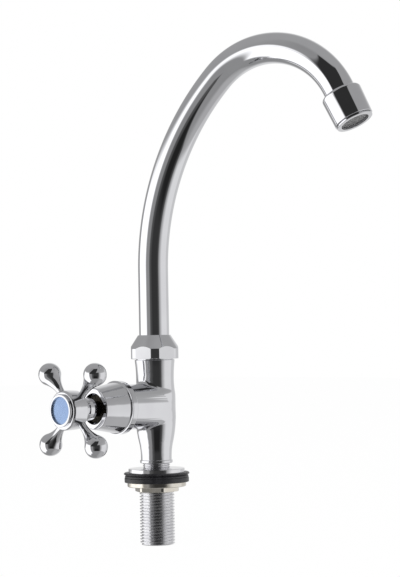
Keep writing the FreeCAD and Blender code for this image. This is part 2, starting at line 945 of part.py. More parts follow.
# Aerator ring: threaded shell with a rim outside the nozzle and a small lip that holds the mesh.
shell_start = washer_seat + washer_thickness
shell_bore = sized("aerator_bore_radius")
neck_of_shell = sized("aerator_neck_radius")
rim_start = nozzle_length + sized("aerator_rim_gap")
rim_end = rim_start + sized("aerator_rim_thickness")
rim_radius = sized("aerator_rim_radius")
rim_round = sized("aerator_rim_round")
mesh_end = rim_end - sized("mesh_recess")
lip_inside = shell_bore - sized("aerator_lip")
aerator_ring = new_body("aerator_ring")
turned(
    aerator_ring,
    "shell",
    [
        (shell_bore, shell_start),
        (aerator_thread, shell_start),
        (aerator_thread, nozzle_length - rim_round),
        (neck_of_shell, nozzle_length - rim_round),
        (neck_of_shell, rim_start),
        (rim_radius, rim_start),
        (rim_radius, rim_end - rim_round),
        (rim_radius - rim_round, rim_end, rim_round),
        (lip_inside, rim_end),
        (lip_inside, mesh_end),
        (shell_bore, mesh_end),
    ],
)
lay_on_outlet(aerator_ring)

# Cartridge: plastic cup with a core on a web, which mixes air into the water.
mesh_start = mesh_end - sized("mesh_thickness")
cartridge_bore = sized("cartridge_bore_radius")
cartridge_radius = shell_bore - running_fit
web_end = shell_start + sized("cartridge_web")
cartridge = new_body("aerator_cartridge")
turned(
    cartridge,
    "cartridge",
    [
        (sized("cartridge_core_radius"), shell_start),
        (cartridge_radius, shell_start),
        (cartridge_radius, mesh_start),
        (cartridge_radius - sized("cartridge_wall"), mesh_start),
        (cartridge_bore, web_end),
        (sized("cartridge_core_radius"), web_end),
    ],
)
lay_on_outlet(cartridge)

# Mesh: a thin disc with rows of round holes, seen as the outlet's strainer.
mesh_radius = shell_bore - running_fit
mesh_thickness = sheet.mesh_thickness
mesh_disc = Part.makeCylinder(mesh_radius.number, mesh_thickness, Vector(0, 0, mesh_start.number))
hole_pitch = sheet.mesh_hole_pitch
hole_radius = sheet.mesh_hole_radius
row_pitch = hole_pitch * math.sin(math.pi / 3)
reach_of_holes = lip_inside.number - 2 * hole_radius
rows = int(reach_of_holes / row_pitch)
holes = []
for row in range(-rows, rows + 1):
    shift = hole_pitch / 2 if row % 2 else 0.0
    columns = int(reach_of_holes / hole_pitch) + 1
    for column in range(-columns, columns + 1):
        spot = Vector(column * hole_pitch + shift, row * row_pitch, mesh_start.number)
        if math.hypot(spot.x, spot.y) <= reach_of_holes:
            holes.append(Part.makeCylinder(hole_radius, mesh_thickness, spot))
mesh = keep(doc.addObject("Part::Feature", "aerator_mesh"), "aerator_mesh")
mesh.Shape = mesh_disc.cut(Part.makeCompound(holes))
lay_on_outlet(mesh)

# Bonnet: screws into the port, guides the spindle and holds the packing.
# From here on, heights run out along the handle's axis from the tap's axis.
seal_thickness = sized("seal_thickness")
seal = ring("headwork_seal", sized("valve_chamber_radius"), port_thread, thread_floor, seal_thickness)
lay_on_handle_axis(seal)

nose_end = thread_floor + seal_thickness
shoulder = port_face + sized("shroud_web")
hex_end = shoulder + sized("headwork_hex_length")
barrel_end = hex_end + sized("headwork_barrel_length")
barrel_radius = sized("headwork_barrel_radius")
nose_round = sized("headwork_nose_round")
bonnet_flats = sized("headwork_across_flats")
bonnet_corner = bonnet_flats / 2 * corner_share
packing_radius = sized("packing_radius")
packing_floor = barrel_end - sized("packing_depth")
spindle_radius = sized("spindle_radius")
spindle_thread = sized("spindle_thread_radius")
lift = sized("lift")
collar_rest = nose_end - lift - sized("stop_gap")
thread_rest = collar_rest + sized("spindle_thread_length")
thread_room = thread_rest + lift + free_gap
bonnet = new_body("headwork_body")
turned(
    bonnet,
    "bonnet_blank",
    [
        (spindle_thread + running_fit, nose_end),
        (port_thread - nose_round, nose_end),
        (port_thread, nose_end + nose_round),
        (port_thread, shoulder),
        (bonnet_corner, shoulder),
        (bonnet_corner, hex_end),
        (barrel_radius, hex_end),
        (barrel_radius, barrel_end),
        (packing_radius, barrel_end),
        (packing_radius, packing_floor),
        (spindle_radius + running_fit, packing_floor),
        (spindle_radius + running_fit, thread_room),
        (spindle_thread + running_fit, thread_room),
    ],
)
six_flats(
    bonnet, "bonnet", bonnet_flats, bonnet_corner, shoulder, sized("headwork_hex_length")
)
lay_on_handle_axis(bonnet)

packing = ring(
    "gland_packing",
    spindle_radius + running_fit,
    packing_radius - running_fit,
    packing_floor,
    sized("packing_thickness"),
)
lay_on_handle_axis(packing)

# Gland nut: a cap nut over the barrel, with a nose that presses on the packing.
packing_top = packing_floor + sized("packing_thickness")
gland_roof = barrel_end + free_gap
gland_end = gland_roof + sized("gland_wall")
gland_start = gland_end - sized("gland_height")
gland_flats = sized("gland_across_flats")
gland_corner = gland_flats / 2 * corner_share
gland = new_body("gland_nut")
turned(
    gland,
    "gland_blank",
    [
        (barrel_radius, gland_start),
        (gland_corner, gland_start),
        (gland_corner, gland_end),
        (spindle_radius + running_fit, gland_end),
        (spindle_radius + running_fit, packing_top),
        (packing_radius - running_fit, packing_top),
        (packing_radius - running_fit, gland_roof),
        (barrel_radius, gland_roof),
    ],
)
six_flats(gland, "gland", gland_flats, gland_corner, gland_start, sized("gland_height"))
lay_on_handle_axis(gland)

# Shroud: chromed sleeve clamped under the bonnet's hexagon, flared over the port, lipped at its mouth.
shroud_radius = sized("shroud_radius")
shroud_inside = shroud_radius - sized("shroud_wall")
shroud_end = port_face + sized("shroud_length")
shroud_foot = sized("shroud_foot_radius")
foot_edge = port_face + sized("shroud_foot_edge")
cone_foot = sized("shroud_cone_radius")
cone_inside = cone_foot - sized("shroud_wall")
flare_across = shroud_foot - cone_foot
flare_along = sized("shroud_flare")
mouth_radius = sized("shroud_mouth_radius")
mouth_inside = shroud_end - sized("shroud_mouth_lip")
mouth_round = sized("shroud_mouth_round")
shroud = new_body("shroud")
turned(
    shroud,
    "sleeve",
    [
        (port_thread, port_face),
        (shroud_foot, port_face),
        (shroud_foot, foot_edge),
        (cone_foot, foot_edge + flare_along, -bend_radius(flare_along, flare_across)),
        (shroud_radius, shroud_end - mouth_round),
        (shroud_radius - mouth_round, shroud_end, mouth_round),
        (mouth_radius, shroud_end),
        (mouth_radius, mouth_inside),
        (shroud_inside, mouth_inside),
        (cone_inside, shoulder),
        (port_thread, shoulder),
    ],
)
slot_half = sized("spanner_slot_width") / 2
slot_reach = mouth_radius + sized("spanner_slot_depth")
pocketed(
    shroud,
    "spanner_slots",
    [
        (-slot_half, -slot_reach),
        (slot_half, -slot_reach),
        (slot_half, slot_reach),
        (-slot_half, slot_reach),
    ],
    mouth_inside,
    sized("shroud_mouth_lip"),
)
lay_on_handle_axis(shroud)

# Valve: a rubber washer on the jumper's stud, held by a small nut, closed on the seat.
washer_top = seat_face + sized("washer_thickness")
stud_radius = sized("stud_radius")
washer_radius = sized("washer_radius")
seat_washer = ring(
    "seat_washer", stud_radius, washer_radius, seat_face, sized("washer_thickness")
)
lay_on_handle_axis(seat_washer)

washer_nut_start = seat_face - sized("washer_nut_height")
washer_nut_corner = sized("washer_nut_across_flats") / 2 * corner_share
washer_nut = ring(
    "seat_washer_nut",
    stud_radius,
    washer_nut_corner,
    washer_nut_start,
    sized("washer_nut_height"),
)
six_flats(
    washer_nut,
    "washer_nut",
    sized("washer_nut_across_flats"),
    washer_nut_corner,
    washer_nut_start,
    sized("washer_nut_height"),
)
lay_on_handle_axis(washer_nut)

cup_radius = washer_radius + sized("jumper_rim")
cup_start = washer_top - sized("jumper_rim_height")
plate_end = washer_top + sized("jumper_plate")
stem_radius = sized("jumper_stem_radius")
stem_end = plate_end + sized("jumper_stem_length")
stud_start = washer_nut_start - sized("stud_past_nut")
jumper = new_body("jumper")
turned(
    jumper,
    "jumper",
    [
        (0, stud_start),
        (stud_radius, stud_start),
        (stud_radius, washer_top),
        (washer_radius, washer_top),
        (washer_radius, cup_start),
        (cup_radius, cup_start),
        (cup_radius, plate_end),
        (stem_radius, plate_end),
        (stem_radius, stem_end),
        (0, stem_end),
    ],
)
lay_on_handle_axis(jumper)

# Spindle: the jumper's stem turns in its end; its screw lifts it; its splined end carries the handle.
bush_end = shroud_end + sized("bush_from_shroud")
spindle_start = plate_end + sized("spindle_end_gap")
spline_end = bush_end + sized("spline_length")
spline_radius = sized("spline_radius")
screw_radius = sized("screw_radius")
screw_tip = spline_end - sized("screw_length")
stem_hole_end = stem_end + free_gap
spindle = new_body("spindle")
turned(
    spindle,
    "spindle_blank",
    [
        (stem_radius + running_fit, spindle_start),
        (sized("stop_collar_radius"), spindle_start),
        (sized("stop_collar_radius"), collar_rest),
        (spindle_thread, collar_rest),
        (spindle_thread, thread_rest),
        (spindle_radius, thread_rest),
        (spindle_radius, bush_end),
        (spline_radius, bush_end),
        (spline_radius, spline_end),
        (screw_radius, spline_end),
        (screw_radius, screw_tip),
        (0, screw_tip),
        (0, stem_hole_end),
        (stem_radius + running_fit, stem_hole_end),
    ],
)
tooth_depth = sized("spline_tooth_depth")
spline_groove = pocketed(
    spindle,
    "spline_groove",
    [
        (spline_radius - tooth_depth, 0),
        (spline_radius + tooth_depth, -tooth_depth),
        (spline_radius + tooth_depth, tooth_depth),
    ],
    bush_end,
    sized("spline_length"),
)
repeated(spindle, "spline", spline_groove, sized("spline_teeth"))
lay_on_handle_axis(spindle)

# Cross handle: turned hub and bush, four ball-ended arms, and the socket for the spindle.
bush_radius = sized("bush_radius")
bush_round = sized("bush_round")
groove_radius = sized("bush_groove_radius")
groove_depth = bush_radius - groove_radius
groove_start = bush_end + sized("bush_length")
hub_back = bush_end + sized("hub_back")
hub_back_radius = sized("hub_back_radius")
hub_back_round = sized("hub_back_round")
hub_widest = bush_end + sized("hub_widest")
hub_radius = sized("hub_radius")
hub_front = bush_end + sized("hub_front")
hub_front_radius = sized("hub_front_radius")
cross_handle = new_body("cross_handle")
turned(
    cross_handle,
    "hub",
    [
        (0, bush_end),
        (bush_radius - bush_round, bush_end),
        (bush_radius, bush_end + bush_round, bush_round),
        (bush_radius, groove_start),
        (groove_radius, groove_start + groove_depth),
        (groove_radius, hub_back),
        (hub_back_radius - hub_back_round, hub_back),
        (hub_back_radius, hub_back + hub_back_round, hub_back_round),
        (hub_radius, hub_widest, sized("hub_bulge_radius")),
        (
            hub_front_radius,
            hub_front,
            bend_radius(hub_front - hub_widest, hub_radius - hub_front_radius),
        ),
        (0, hub_front),
    ],
)

arm_plane = bush_end + sized("arm_plane")
arm_root = sized("arm_root_at")
waist_at = sized("arm_waist_at")
arm_waist = sized("arm_waist_radius")
ball_at = sized("ball_centre_at")
ball_radius = sized("ball_radius")
waist_to_ball = ball_at - waist_at
hollow = (waist_to_ball * waist_to_ball + arm_waist * arm_waist - ball_radius * ball_radius) / (
    (ball_radius - arm_waist) * 2
)
tangent_share = ball_radius / (ball_radius + hollow)
tangent_at = ball_at - waist_to_ball * tangent_share
tangent_up = (arm_waist + hollow) * tangent_share
root_up = arm_waist + hollow - root(hollow * hollow - (waist_at - arm_root) * (waist_at - arm_root))
arm = turned(
    cross_handle,
    "arm",
    [
        (arm_root, 0),
        (ball_at + ball_radius, 0),
        (ball_at, ball_radius, ball_radius),
        (tangent_at, tangent_up, ball_radius),
        (arm_root, root_up, -hollow),
    ],
    axis="H_Axis",
    up=arm_plane,
)
arms = cross_handle.newObject("PartDesign::PolarPattern", "arms")
arms.Originals = [arm]
arms.Axis = (plane_of(cross_handle, "Z_Axis"), [""])
arms.Angle = WHOLE_TURN
arms.Occurrences = SIZES["arm_count"]
bind(arms, "Occurrences", sized("arm_count"))
cross_handle.Tip = arms

cap_plug_radius = sized("hub_counterbore_radius")
web_start = spline_end + free_gap
web_top = web_start + sized("hub_web")
screw_clearance = screw_radius + running_fit
turned(
    cross_handle,
    "spindle_socket",
    [
        (0, bush_end),
        (spline_radius + running_fit, bush_end),
        (spline_radius + running_fit, web_start),
        (screw_clearance, web_start),
        (screw_clearance, web_top),
        (cap_plug_radius, web_top),
        (cap_plug_radius, hub_front),
        (0, hub_front),
    ],
    cut=True,
)
lay_on_handle_axis(cross_handle, SIZES["arm_turn"])

# Handle screw, with a slotted pan head, and the cap with its disc that hide it.
head_radius = sized("screw_head_radius")
head_top = web_top + sized("screw_head_height")
handle_screw = new_body("handle_screw")
turned(
    handle_screw,
    "screw",
    [
        (0, screw_tip + free_gap),
        (screw_radius, screw_tip + free_gap),
        (screw_radius, web_top),
        (head_radius, web_top),
        (head_radius, head_top),
        (0, head_top),
    ],
)
screw_slot = sized("screw_slot_width") / 2
slot_depth = sized("screw_slot_depth")
pocketed(
    handle_screw,
    "slot",
    [
        (-head_radius, -screw_slot),
        (head_radius, -screw_slot),
        (head_radius, screw_slot),
        (-head_radius, screw_slot),
    ],
    head_top - slot_depth,
    slot_depth,
)
lay_on_handle_axis(handle_screw)

cap_top = hub_front + sized("cap_thickness")
cap_radius = sized("cap_radius")
cap_round = sized("cap_round")
disc_radius = sized("disc_radius")
disc_floor = cap_top - sized("disc_recess")
index_cap = new_body("index_cap")
turned(
    index_cap,
    "cap",
    [
        (0, hub_front - sized("cap_plug_depth")),
        (cap_plug_radius, hub_front - sized("cap_plug_depth")),
        (cap_plug_radius, hub_front),
        (cap_radius, hub_front),
        (cap_radius, cap_top - cap_round),
        (cap_radius - cap_round, cap_top, cap_round),
        (disc_radius + running_fit, cap_top),
        (disc_radius + running_fit, disc_floor),
        (0, disc_floor),
    ],
)
lay_on_handle_axis(index_cap)

index_disc = new_body("index_disc")
turned(
    index_disc,
    "disc",
    [
        (0, disc_floor),
        (disc_radius, disc_floor),
        (disc_radius, disc_floor + sized("disc_thickness")),
        (0, disc_floor + sized("disc_thickness")),
    ],
)
lay_on_handle_axis(index_disc)

doc.recompute()
for thing in doc.Objects:
    if "Invalid" in thing.State or "Error" in thing.State:
        raise RuntimeError(f"{thing.Label} failed: {thing.State}")
for piece in pieces:
    if piece.Shape.isNull() or not piece.Shape.isValid():
        raise RuntimeError(f"{piece.Label} has no valid shape")
for piece in pieces:
    piece.Shape.exportStep(f"parts/{piece.Label}.step")
    print(f"{piece.Label}: {len(piece.Shape.Solids)} solid(s), {piece.Shape.Volume:.0f} mm3")
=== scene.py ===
import math
import bmesh
import bpy
from mathutils import Matrix, Vector


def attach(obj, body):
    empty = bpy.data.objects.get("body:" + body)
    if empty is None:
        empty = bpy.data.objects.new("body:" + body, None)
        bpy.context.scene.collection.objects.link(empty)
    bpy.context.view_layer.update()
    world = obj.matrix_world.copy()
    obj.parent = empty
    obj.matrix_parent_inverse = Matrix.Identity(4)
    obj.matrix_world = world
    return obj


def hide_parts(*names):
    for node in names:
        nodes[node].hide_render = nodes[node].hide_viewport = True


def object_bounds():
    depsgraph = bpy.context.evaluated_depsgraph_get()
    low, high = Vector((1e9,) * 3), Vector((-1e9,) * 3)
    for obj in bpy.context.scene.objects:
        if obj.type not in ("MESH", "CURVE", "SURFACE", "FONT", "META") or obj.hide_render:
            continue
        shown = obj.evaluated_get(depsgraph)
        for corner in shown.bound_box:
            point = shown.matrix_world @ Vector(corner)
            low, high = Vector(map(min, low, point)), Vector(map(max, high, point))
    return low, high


# A cold-water sink tap: chromed column and swan-neck spout, cross handle, rubber gaskets and a threaded
# shank with its brass backnut. Blender's unit is the metre, and the pieces' sizes are named in millimetres.
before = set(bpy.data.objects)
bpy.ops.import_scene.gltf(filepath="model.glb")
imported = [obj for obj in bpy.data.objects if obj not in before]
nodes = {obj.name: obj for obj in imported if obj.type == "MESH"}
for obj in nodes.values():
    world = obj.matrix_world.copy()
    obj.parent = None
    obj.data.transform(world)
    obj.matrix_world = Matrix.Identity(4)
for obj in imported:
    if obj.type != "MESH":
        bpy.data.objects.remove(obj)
cad_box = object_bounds()
scene = bpy.context.scene
scene.view_settings.view_transform = "Standard"
MM = 0.001

# Camera: the photograph's viewpoint, given by its bearing round the tap, its tilt and roll, and the
# point in the tap's plane of symmetry that the middle of the picture looks at.
camera_bearing = math.radians(-43.36)
camera_tilt = math.radians(-1.40)
camera_roll = math.radians(-1.04)
camera_distance = 1.1407
aim = Vector((0.03878, 0.0, 0.1141))
focal_pixels = 1840.0
picture_height = 577
camera_data = bpy.data.cameras.new("camera")
camera_data.sensor_width = 36.0
camera_data.lens = focal_pixels * camera_data.sensor_width / picture_height
camera = bpy.data.objects.new("camera", camera_data)
back = Vector(
    (
        math.sin(camera_bearing) * math.cos(camera_tilt),
        -math.cos(camera_bearing) * math.cos(camera_tilt),
        math.sin(camera_tilt),
    )
)
roll = Matrix.Rotation(camera_roll, 4, "Z").to_quaternion()
camera.rotation_mode = "QUATERNION"
camera.rotation_quaternion = (-back).to_track_quat("-Z", "Y") @ roll
camera.location = aim + back * camera_distance
scene.collection.objects.link(camera)
scene.camera = camera

# Studio: grey walls with a tall white panel at the tap's left, a paler wall at its right, a white
# backdrop behind it, and a dark opening in front, which the chrome shows as its black stripes.


def add_node(tree, kind, *values, **settings):
    """A node with its settings, whose first inputs get the numbers or the sockets given."""
    node = tree.nodes.new(kind)
    for name, value in settings.items():
        setattr(node, name, value)
    for socket, value in zip(node.inputs, values):
        if isinstance(value, bpy.types.NodeSocket):
            tree.links.new(value, socket)
        elif value is not None:
            socket.default_value = value
    return node


def maths(tree, operation, *values):
    return add_node(tree, "ShaderNodeMath", *values, operation=operation).outputs[0]


def ramp_of(tree, value, start, end, low=0.0, high=1.0):
    """Low before start, high after end, and a smooth change between."""
    node = add_node(
        tree, "ShaderNodeMapRange", value, start, end, low, high, interpolation_type="SMOOTHSTEP"
    )
    return node.outputs["Result"]


world = bpy.data.worlds.new("studio")
scene.world = world
world.use_nodes = True
sky = world.node_tree
ray = add_node(sky, "ShaderNodeTexCoord").outputs["Generated"]
towards_camera = math.atan2(back.y, back.x)
turned_ray = add_node(sky, "ShaderNodeVectorRotate", ray, rotation_type="Z_AXIS")
turned_ray.inputs["Angle"].default_value = -towards_camera
split_ray = add_node(sky, "ShaderNodeSeparateXYZ", turned_ray.outputs["Vector"])
side = maths(sky, "DEGREES", maths(sky, "ARCTAN2", split_ray.outputs["Y"], split_ray.outputs["X"]))
height = maths(sky, "DEGREES", maths(sky, "ARCSINE", split_ray.outputs["Z"]))


def panel(level, brightness, sides, heights, side_blur, height_blur, lean):
    """Puts a soft-edged panel into the studio, between two sides and two heights in degrees.

    A lean shifts its sides by so many degrees for each degree of height.
    """
    leaning_side = maths(sky, "MULTIPLY_ADD", height, -lean, side) if lean else side
    inside = 1.0
    for value, (start, end), blur in ((leaning_side, sides, side_blur), (height, heights, height_blur)):
        for edge, low, high in ((start, 0.0, 1.0), (end, 1.0, 0.0)):
            if edge is not None:
                step = ramp_of(sky, value, edge - blur, edge + blur, low, high)
                inside = maths(sky, "MULTIPLY", inside, step)
    rest = maths(sky, "SUBTRACT", brightness, level)
    return maths(sky, "MULTIPLY_ADD", inside, rest, level)


lowest, highest = -75, 60
floor_level, ceiling_level = 0.33, 0.43
# Each panel's brightness, sides, heights, blur of its sides and of its heights, and lean.
panels = [
    (0.52, (55, 175), (-80, 25), 25, 20, 0),
    (0.34, (-60, 10), (-80, 62), 20, 10, 0),
    (0.85, (152, None), (-45, 40), 14, 15, 0),
    (0.85, (None, -168), (-45, 40), 10, 15, 0),
    (0.92, (57, 122), (-35, 14), 13, 4, 0),
    (0.72, (118, 160), (-38, 22), 8, 6, 0),
    (1.5, (-122, -56), (-54, 16), 5, 5, 0),
    (1.3, (-136, -118), (-38, -4), 5, 6, 0),
    (0.10, (-28, 42), (-38, 20), 4, 2, 0),
    (0.045, (-14, 34), (-37, 18), 8, 3, 0),
    (0.02, (-12, 26), (-37, -14), 6, 5, 0),
    (0.035, (-67, -5), (7, 59), 2.5, 2, 0.86),
]
level = ramp_of(sky, height, lowest, highest, floor_level, ceiling_level)
for panel_sizes in panels:
    level = panel(level, *panel_sizes)
backdrop = 1.0
camera_ray = add_node(sky, "ShaderNodeLightPath").outputs["Is Camera Ray"]
shown = add_node(sky, "ShaderNodeMix", camera_ray, None, level, backdrop).outputs[0]
tint = add_node(sky, "ShaderNodeCombineColor", shown, shown, shown)
sky.links.new(tint.outputs["Color"], sky.nodes["Background"].inputs["Color"])

# Two large soft lamps light what isn't mirror-bright, and a pale floor lies just under the shank. Each
# lamp has its place, its width and its power.
lamps = {
    "key_lamp": ((-1.1, -0.7, 1.3), 1.2, 26.0),
    "fill_lamp": ((1.3, -1.0, 0.9), 1.2, 12.0),
}
for name, (place, width, power) in lamps.items():
    lamp_data = bpy.data.lights.new(name, "AREA")
    lamp_data.size = width
    lamp_data.energy = power
    lamp = bpy.data.objects.new(name, lamp_data)
    lamp.location = place
    lamp.rotation_mode = "QUATERNION"
    lamp.rotation_quaternion = (aim - Vector(place)).to_track_quat("-Z", "Y")
    lamp.visible_glossy = False
    scene.collection.objects.link(lamp)

floor_gap = 0.5
floor_height = cad_box[0].z - floor_gap * MM
floor_half = 3.0
floor_glow = 0.985
floor_grey = 0.9
floor_roughness = 0.9
floor_corners = [(-1, -1), (1, -1), (1, 1), (-1, 1)]
floor_mesh = bpy.data.meshes.new("floor")
floor_mesh.from_pydata(
    [(x * floor_half, y * floor_half, floor_height) for x, y in floor_corners], [], [(0, 1, 2, 3)]
)
floor = bpy.data.objects.new("floor", floor_mesh)
scene.collection.objects.link(floor)
floor.visible_glossy = False
floor_paint = bpy.data.materials.new("floor_paint")
floor_paint.use_nodes = True
tree = floor_paint.node_tree
floor_shader = tree.nodes["Principled BSDF"]
floor_shader.inputs["Base Color"].default_value = (floor_grey, floor_grey, floor_grey, 1)
floor_shader.inputs["Roughness"].default_value = floor_roughness
glow = add_node(tree, "ShaderNodeEmission", (1, 1, 1, 1), 1.0)
seen = add_node(tree, "ShaderNodeLightPath").outputs["Is Camera Ray"]
share = maths(tree, "MULTIPLY", seen, floor_glow)
mix = add_node(tree, "ShaderNodeMixShader", share, floor_shader.outputs[0], glow.outputs[0])
tree.links.new(mix.outputs[0], tree.nodes["Material Output"].inputs["Surface"])
floor_mesh.materials.append(floor_paint)

# Column: one brass casting with the side port for the valve, turned and ground, then polished and
# chromed. Its edges keep the small rounding that polishing leaves.
cloud_detail = 3.0
cloud_low = 0.3
cloud_high = 0.7
finer = 6

def new_material(name):
    """An empty node material with its tree and its shader."""
    material = bpy.data.materials.new(name)
    material.use_nodes = True
    return material, material.node_tree, material.node_tree.nodes["Principled BSDF"]


def cloud_of(tree, scale):
    """Soft noise fixed to the piece, from 0 to 1, with its scale in waves per metre."""
    place = add_node(tree, "ShaderNodeTexCoord").outputs["Object"]
    cloud = add_node(tree, "ShaderNodeTexNoise", place)
    cloud.inputs["Scale"].default_value = scale
    cloud.inputs["Detail"].default_value = cloud_detail
    return cloud.outputs["Fac"]


def by_cloud(tree, cloud, low, high):
    """A value that goes from low to high as the noise does."""
    return ramp_of(tree, cloud, cloud_low, cloud_high, low, high)


def tint_by(tree, cloud, first, second):
    """Mixes two colours as the noise goes."""
    mix = add_node(tree, "ShaderNodeMix", by_cloud(tree, cloud, 0.0, 1.0), data_type="RGBA")
    mix.inputs[6].default_value = (*first, 1)
    mix.inputs[7].default_value = (*second, 1)
    return mix.outputs[2]


def finish_of(name, first, second, smooth, rough, grain, dent, metallic=1.0):
    """A surface of two close colours in soft patches, with uneven gloss and shallow dents.

    Smooth and rough are its least and greatest roughness, grain its waves per metre, dent their depth.
    """
    material, tree, shader = new_material(name)
    shader.inputs["Metallic"].default_value = metallic
    cloud = cloud_of(tree, grain)
    tree.links.new(tint_by(tree, cloud, first, second), shader.inputs["Base Color"])
    fine = cloud_of(tree, grain * finer)
    tree.links.new(by_cloud(tree, fine, smooth, rough), shader.inputs["Roughness"])
    bump = add_node(tree, "ShaderNodeBump")
    bump.inputs["Strength"].default_value = 1.0
    bump.inputs["Distance"].default_value = dent * MM
    tree.links.new(cloud, bump.inputs["Height"])
    tree.links.new(bump.outputs["Normal"], shader.inputs["Normal"])
    return material


def chrome_of(name, smooth=0.012, rough=0.03, grain=90, dent=0.003):
    """Polished chrome."""
    bright = (0.73, 0.735, 0.755)
    dim = (0.70, 0.70, 0.725)
    return finish_of(name, bright, dim, smooth, rough, grain, dent)


def show(mesh, name, body, material, slot, *replaced):
    """Makes a mesh a piece of the tap, in place of the CAD nodes that it stands for."""
    mesh.materials.clear()
    mesh.materials.append(material)
    piece = bpy.data.objects.new(name, mesh)
    scene.collection.objects.link(piece)
    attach(piece, body)
    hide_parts(*replaced)


smoothing_weight = 80


def finished(mesh, sharp_angle=32, bevel=0.0, segments=2):
    """Rounds a mesh's edges if asked, and shades it smoothly between edges sharper than an angle."""
    piece = bpy.data.objects.new("work", mesh)
    scene.collection.objects.link(piece)
    if bevel:
        rounding = piece.modifiers.new("edges", "BEVEL")
        rounding.width = bevel * MM
        rounding.segments = segments
        rounding.limit_method = "ANGLE"
        rounding.angle_limit = math.radians(sharp_angle)
        rounding.use_clamp_overlap = True
        rounding.harden_normals = True
    mesh.polygons.foreach_set("use_smooth", [True] * len(mesh.polygons))
    mesh.set_sharp_from_angle(angle=math.radians(sharp_angle))
    weighting = piece.modifiers.new("shading", "WEIGHTED_NORMAL")
    weighting.keep_sharp = True
    weighting.weight = smoothing_weight
    result = bpy.data.meshes.new_from_object(piece.evaluated_get(bpy.context.evaluated_depsgraph_get()))
    bpy.data.objects.remove(piece)
    return result


merge_distance = 0.001
shortest_edge = 0.0005


def welded(node, flatten=0.0):
    """A copy of a CAD node's mesh with its doubled corners merged, and its flat faces joined if asked."""
    work = bmesh.new()
    work.from_mesh(nodes[node].data)
    bmesh.ops.remove_doubles(work, verts=work.verts, dist=merge_distance * MM)
    bmesh.ops.dissolve_degenerate(work, edges=work.edges, dist=shortest_edge * MM)
    if flatten:
        bmesh.ops.dissolve_limit(
            work, angle_limit=math.radians(flatten), verts=work.verts, edges=work.edges
        )
    mesh = bpy.data.meshes.new(node + "_mesh")
    work.to_mesh(mesh)
    work.free()
    for name in ("custom_normal", "sharp_edge", "sharp_face"):
        if name in mesh.attributes:
            mesh.attributes.remove(mesh.attributes[name])
    return mesh


# The port runs into the column with a wide soft blend at its sides and a tighter one above and below,
# so the mesh is made finer there and laid on a blend of the two rounds.
port_height = 43.1
port_radius = 13.3
port_dome_at = -1.8
belly_radius = 12.2
belly_low = 37.6
belly_high = 46.1
below_belly_bend = 72.1
shoulder_bend = 56.3
shoulder_middle = 52.8
shoulder_top = 59.5
neck_of_column = 11.4
blend_box = ((-26.0, 12.6), (24.0, 59.0))
blend_edge = 0.9
wide_ball = 25.0
tight_ball = 3.2
wide_until = 6.5
tight_from = 12.5
deepest_in_blend = -0.12
highest_in_blend = 0.8
nudge = 0.01


def column_round(up):
    """The column's radius at a height, between the waist's curve and the neck."""
    if up < belly_low:
        return belly_radius - below_belly_bend + math.sqrt(below_belly_bend**2 - (belly_low - up) ** 2)
    if up < belly_high:
        return belly_radius
    if up < shoulder_middle:
        return belly_radius - shoulder_bend + math.sqrt(shoulder_bend**2 - (up - belly_high) ** 2)
    if up < shoulder_top:
        return neck_of_column + shoulder_bend - math.sqrt(shoulder_bend**2 - (shoulder_top - up) ** 2)
    return neck_of_column


def beyond_rounds(spot):
    """How far a point lies outside the column and outside the port."""
    past_dome = max(spot.x - port_dome_at, 0.0)
    from_port = math.sqrt(past_dome**2 + spot.y**2 + (spot.z - port_height) ** 2) - port_radius
    return math.hypot(spot.x, spot.y) - column_round(spot.z), from_port


def beyond_blend(spot):
    """How far a point lies outside the blended surface, as if a ball had rolled along the crease."""
    from_column, from_port = beyond_rounds(spot)
    column_side = Vector((spot.x, spot.y, 0)).normalized()
    port_side = Vector((max(spot.x - port_dome_at, 0.0), spot.y, spot.z - port_height)).normalized()
    share = (abs(spot.z - port_height) - wide_until) / (tight_from - wide_until)
    share = min(max(share, 0.0), 1.0)
    ball = wide_ball + (tight_ball - wide_ball) * share * share * (3 - 2 * share)
    blend = max(ball * (1 - column_side.dot(port_side)), 1e-6)
    closeness = max(blend - abs(from_column - from_port), 0.0) / blend
    return min(from_column, from_port) - closeness * closeness * blend / 4


def in_blend(spot):
    """Whether a point is on the column's or the port's outside, near where they meet."""
    (left, right), (low, high) = blend_box
    if not (left < spot.x < right and low < spot.z < high):
        return False
    return deepest_in_blend < min(beyond_rounds(spot)) < highest_in_blend


def laid_on_blend(spot):
    """The nearest point of the blended surface."""
    steps = [nudge * axis for axis in Matrix.Identity(3)]
    for _ in range(5):
        off = beyond_blend(spot)
        slope = Vector([(beyond_blend(spot + step) - off) / nudge for step in steps])
        spot = spot - slope * (off / slope.length_squared)
    return spot


column_mesh = welded("tap_body")
work = bmesh.new()
work.from_mesh(column_mesh)
bmesh.ops.scale(work, verts=work.verts, vec=(1 / MM, 1 / MM, 1 / MM))
for _ in range(6):
    moving = {vert for vert in work.verts if in_blend(vert.co)}
    long_edges = [
        edge for edge in work.edges if moving.issuperset(edge.verts) and edge.calc_length() > blend_edge
    ]
    bmesh.ops.subdivide_edges(work, edges=long_edges, cuts=1)
    bmesh.ops.triangulate(work, faces=[face for face in work.faces if len(face.verts) > 3])
moving = {vert for vert in work.verts if in_blend(vert.co)}
for vert in moving:
    vert.co = laid_on_blend(vert.co)
inner = [vert for vert in moving if all(edge.other_vert(vert) in moving for edge in vert.link_edges)]
for _ in range(4):
    bmesh.ops.smooth_vert(
        work, verts=inner, factor=0.5, use_axis_x=True, use_axis_y=True, use_axis_z=True
    )
    for vert in inner:
        vert.co = laid_on_blend(vert.co)
bmesh.ops.scale(work, verts=work.verts, vec=(MM, MM, MM))
work.to_mesh(column_mesh)
work.free()
column_chrome = chrome_of("column_chrome")
show(finished(column_mesh), "column", "body", column_chrome, "chrome", "tap_body")

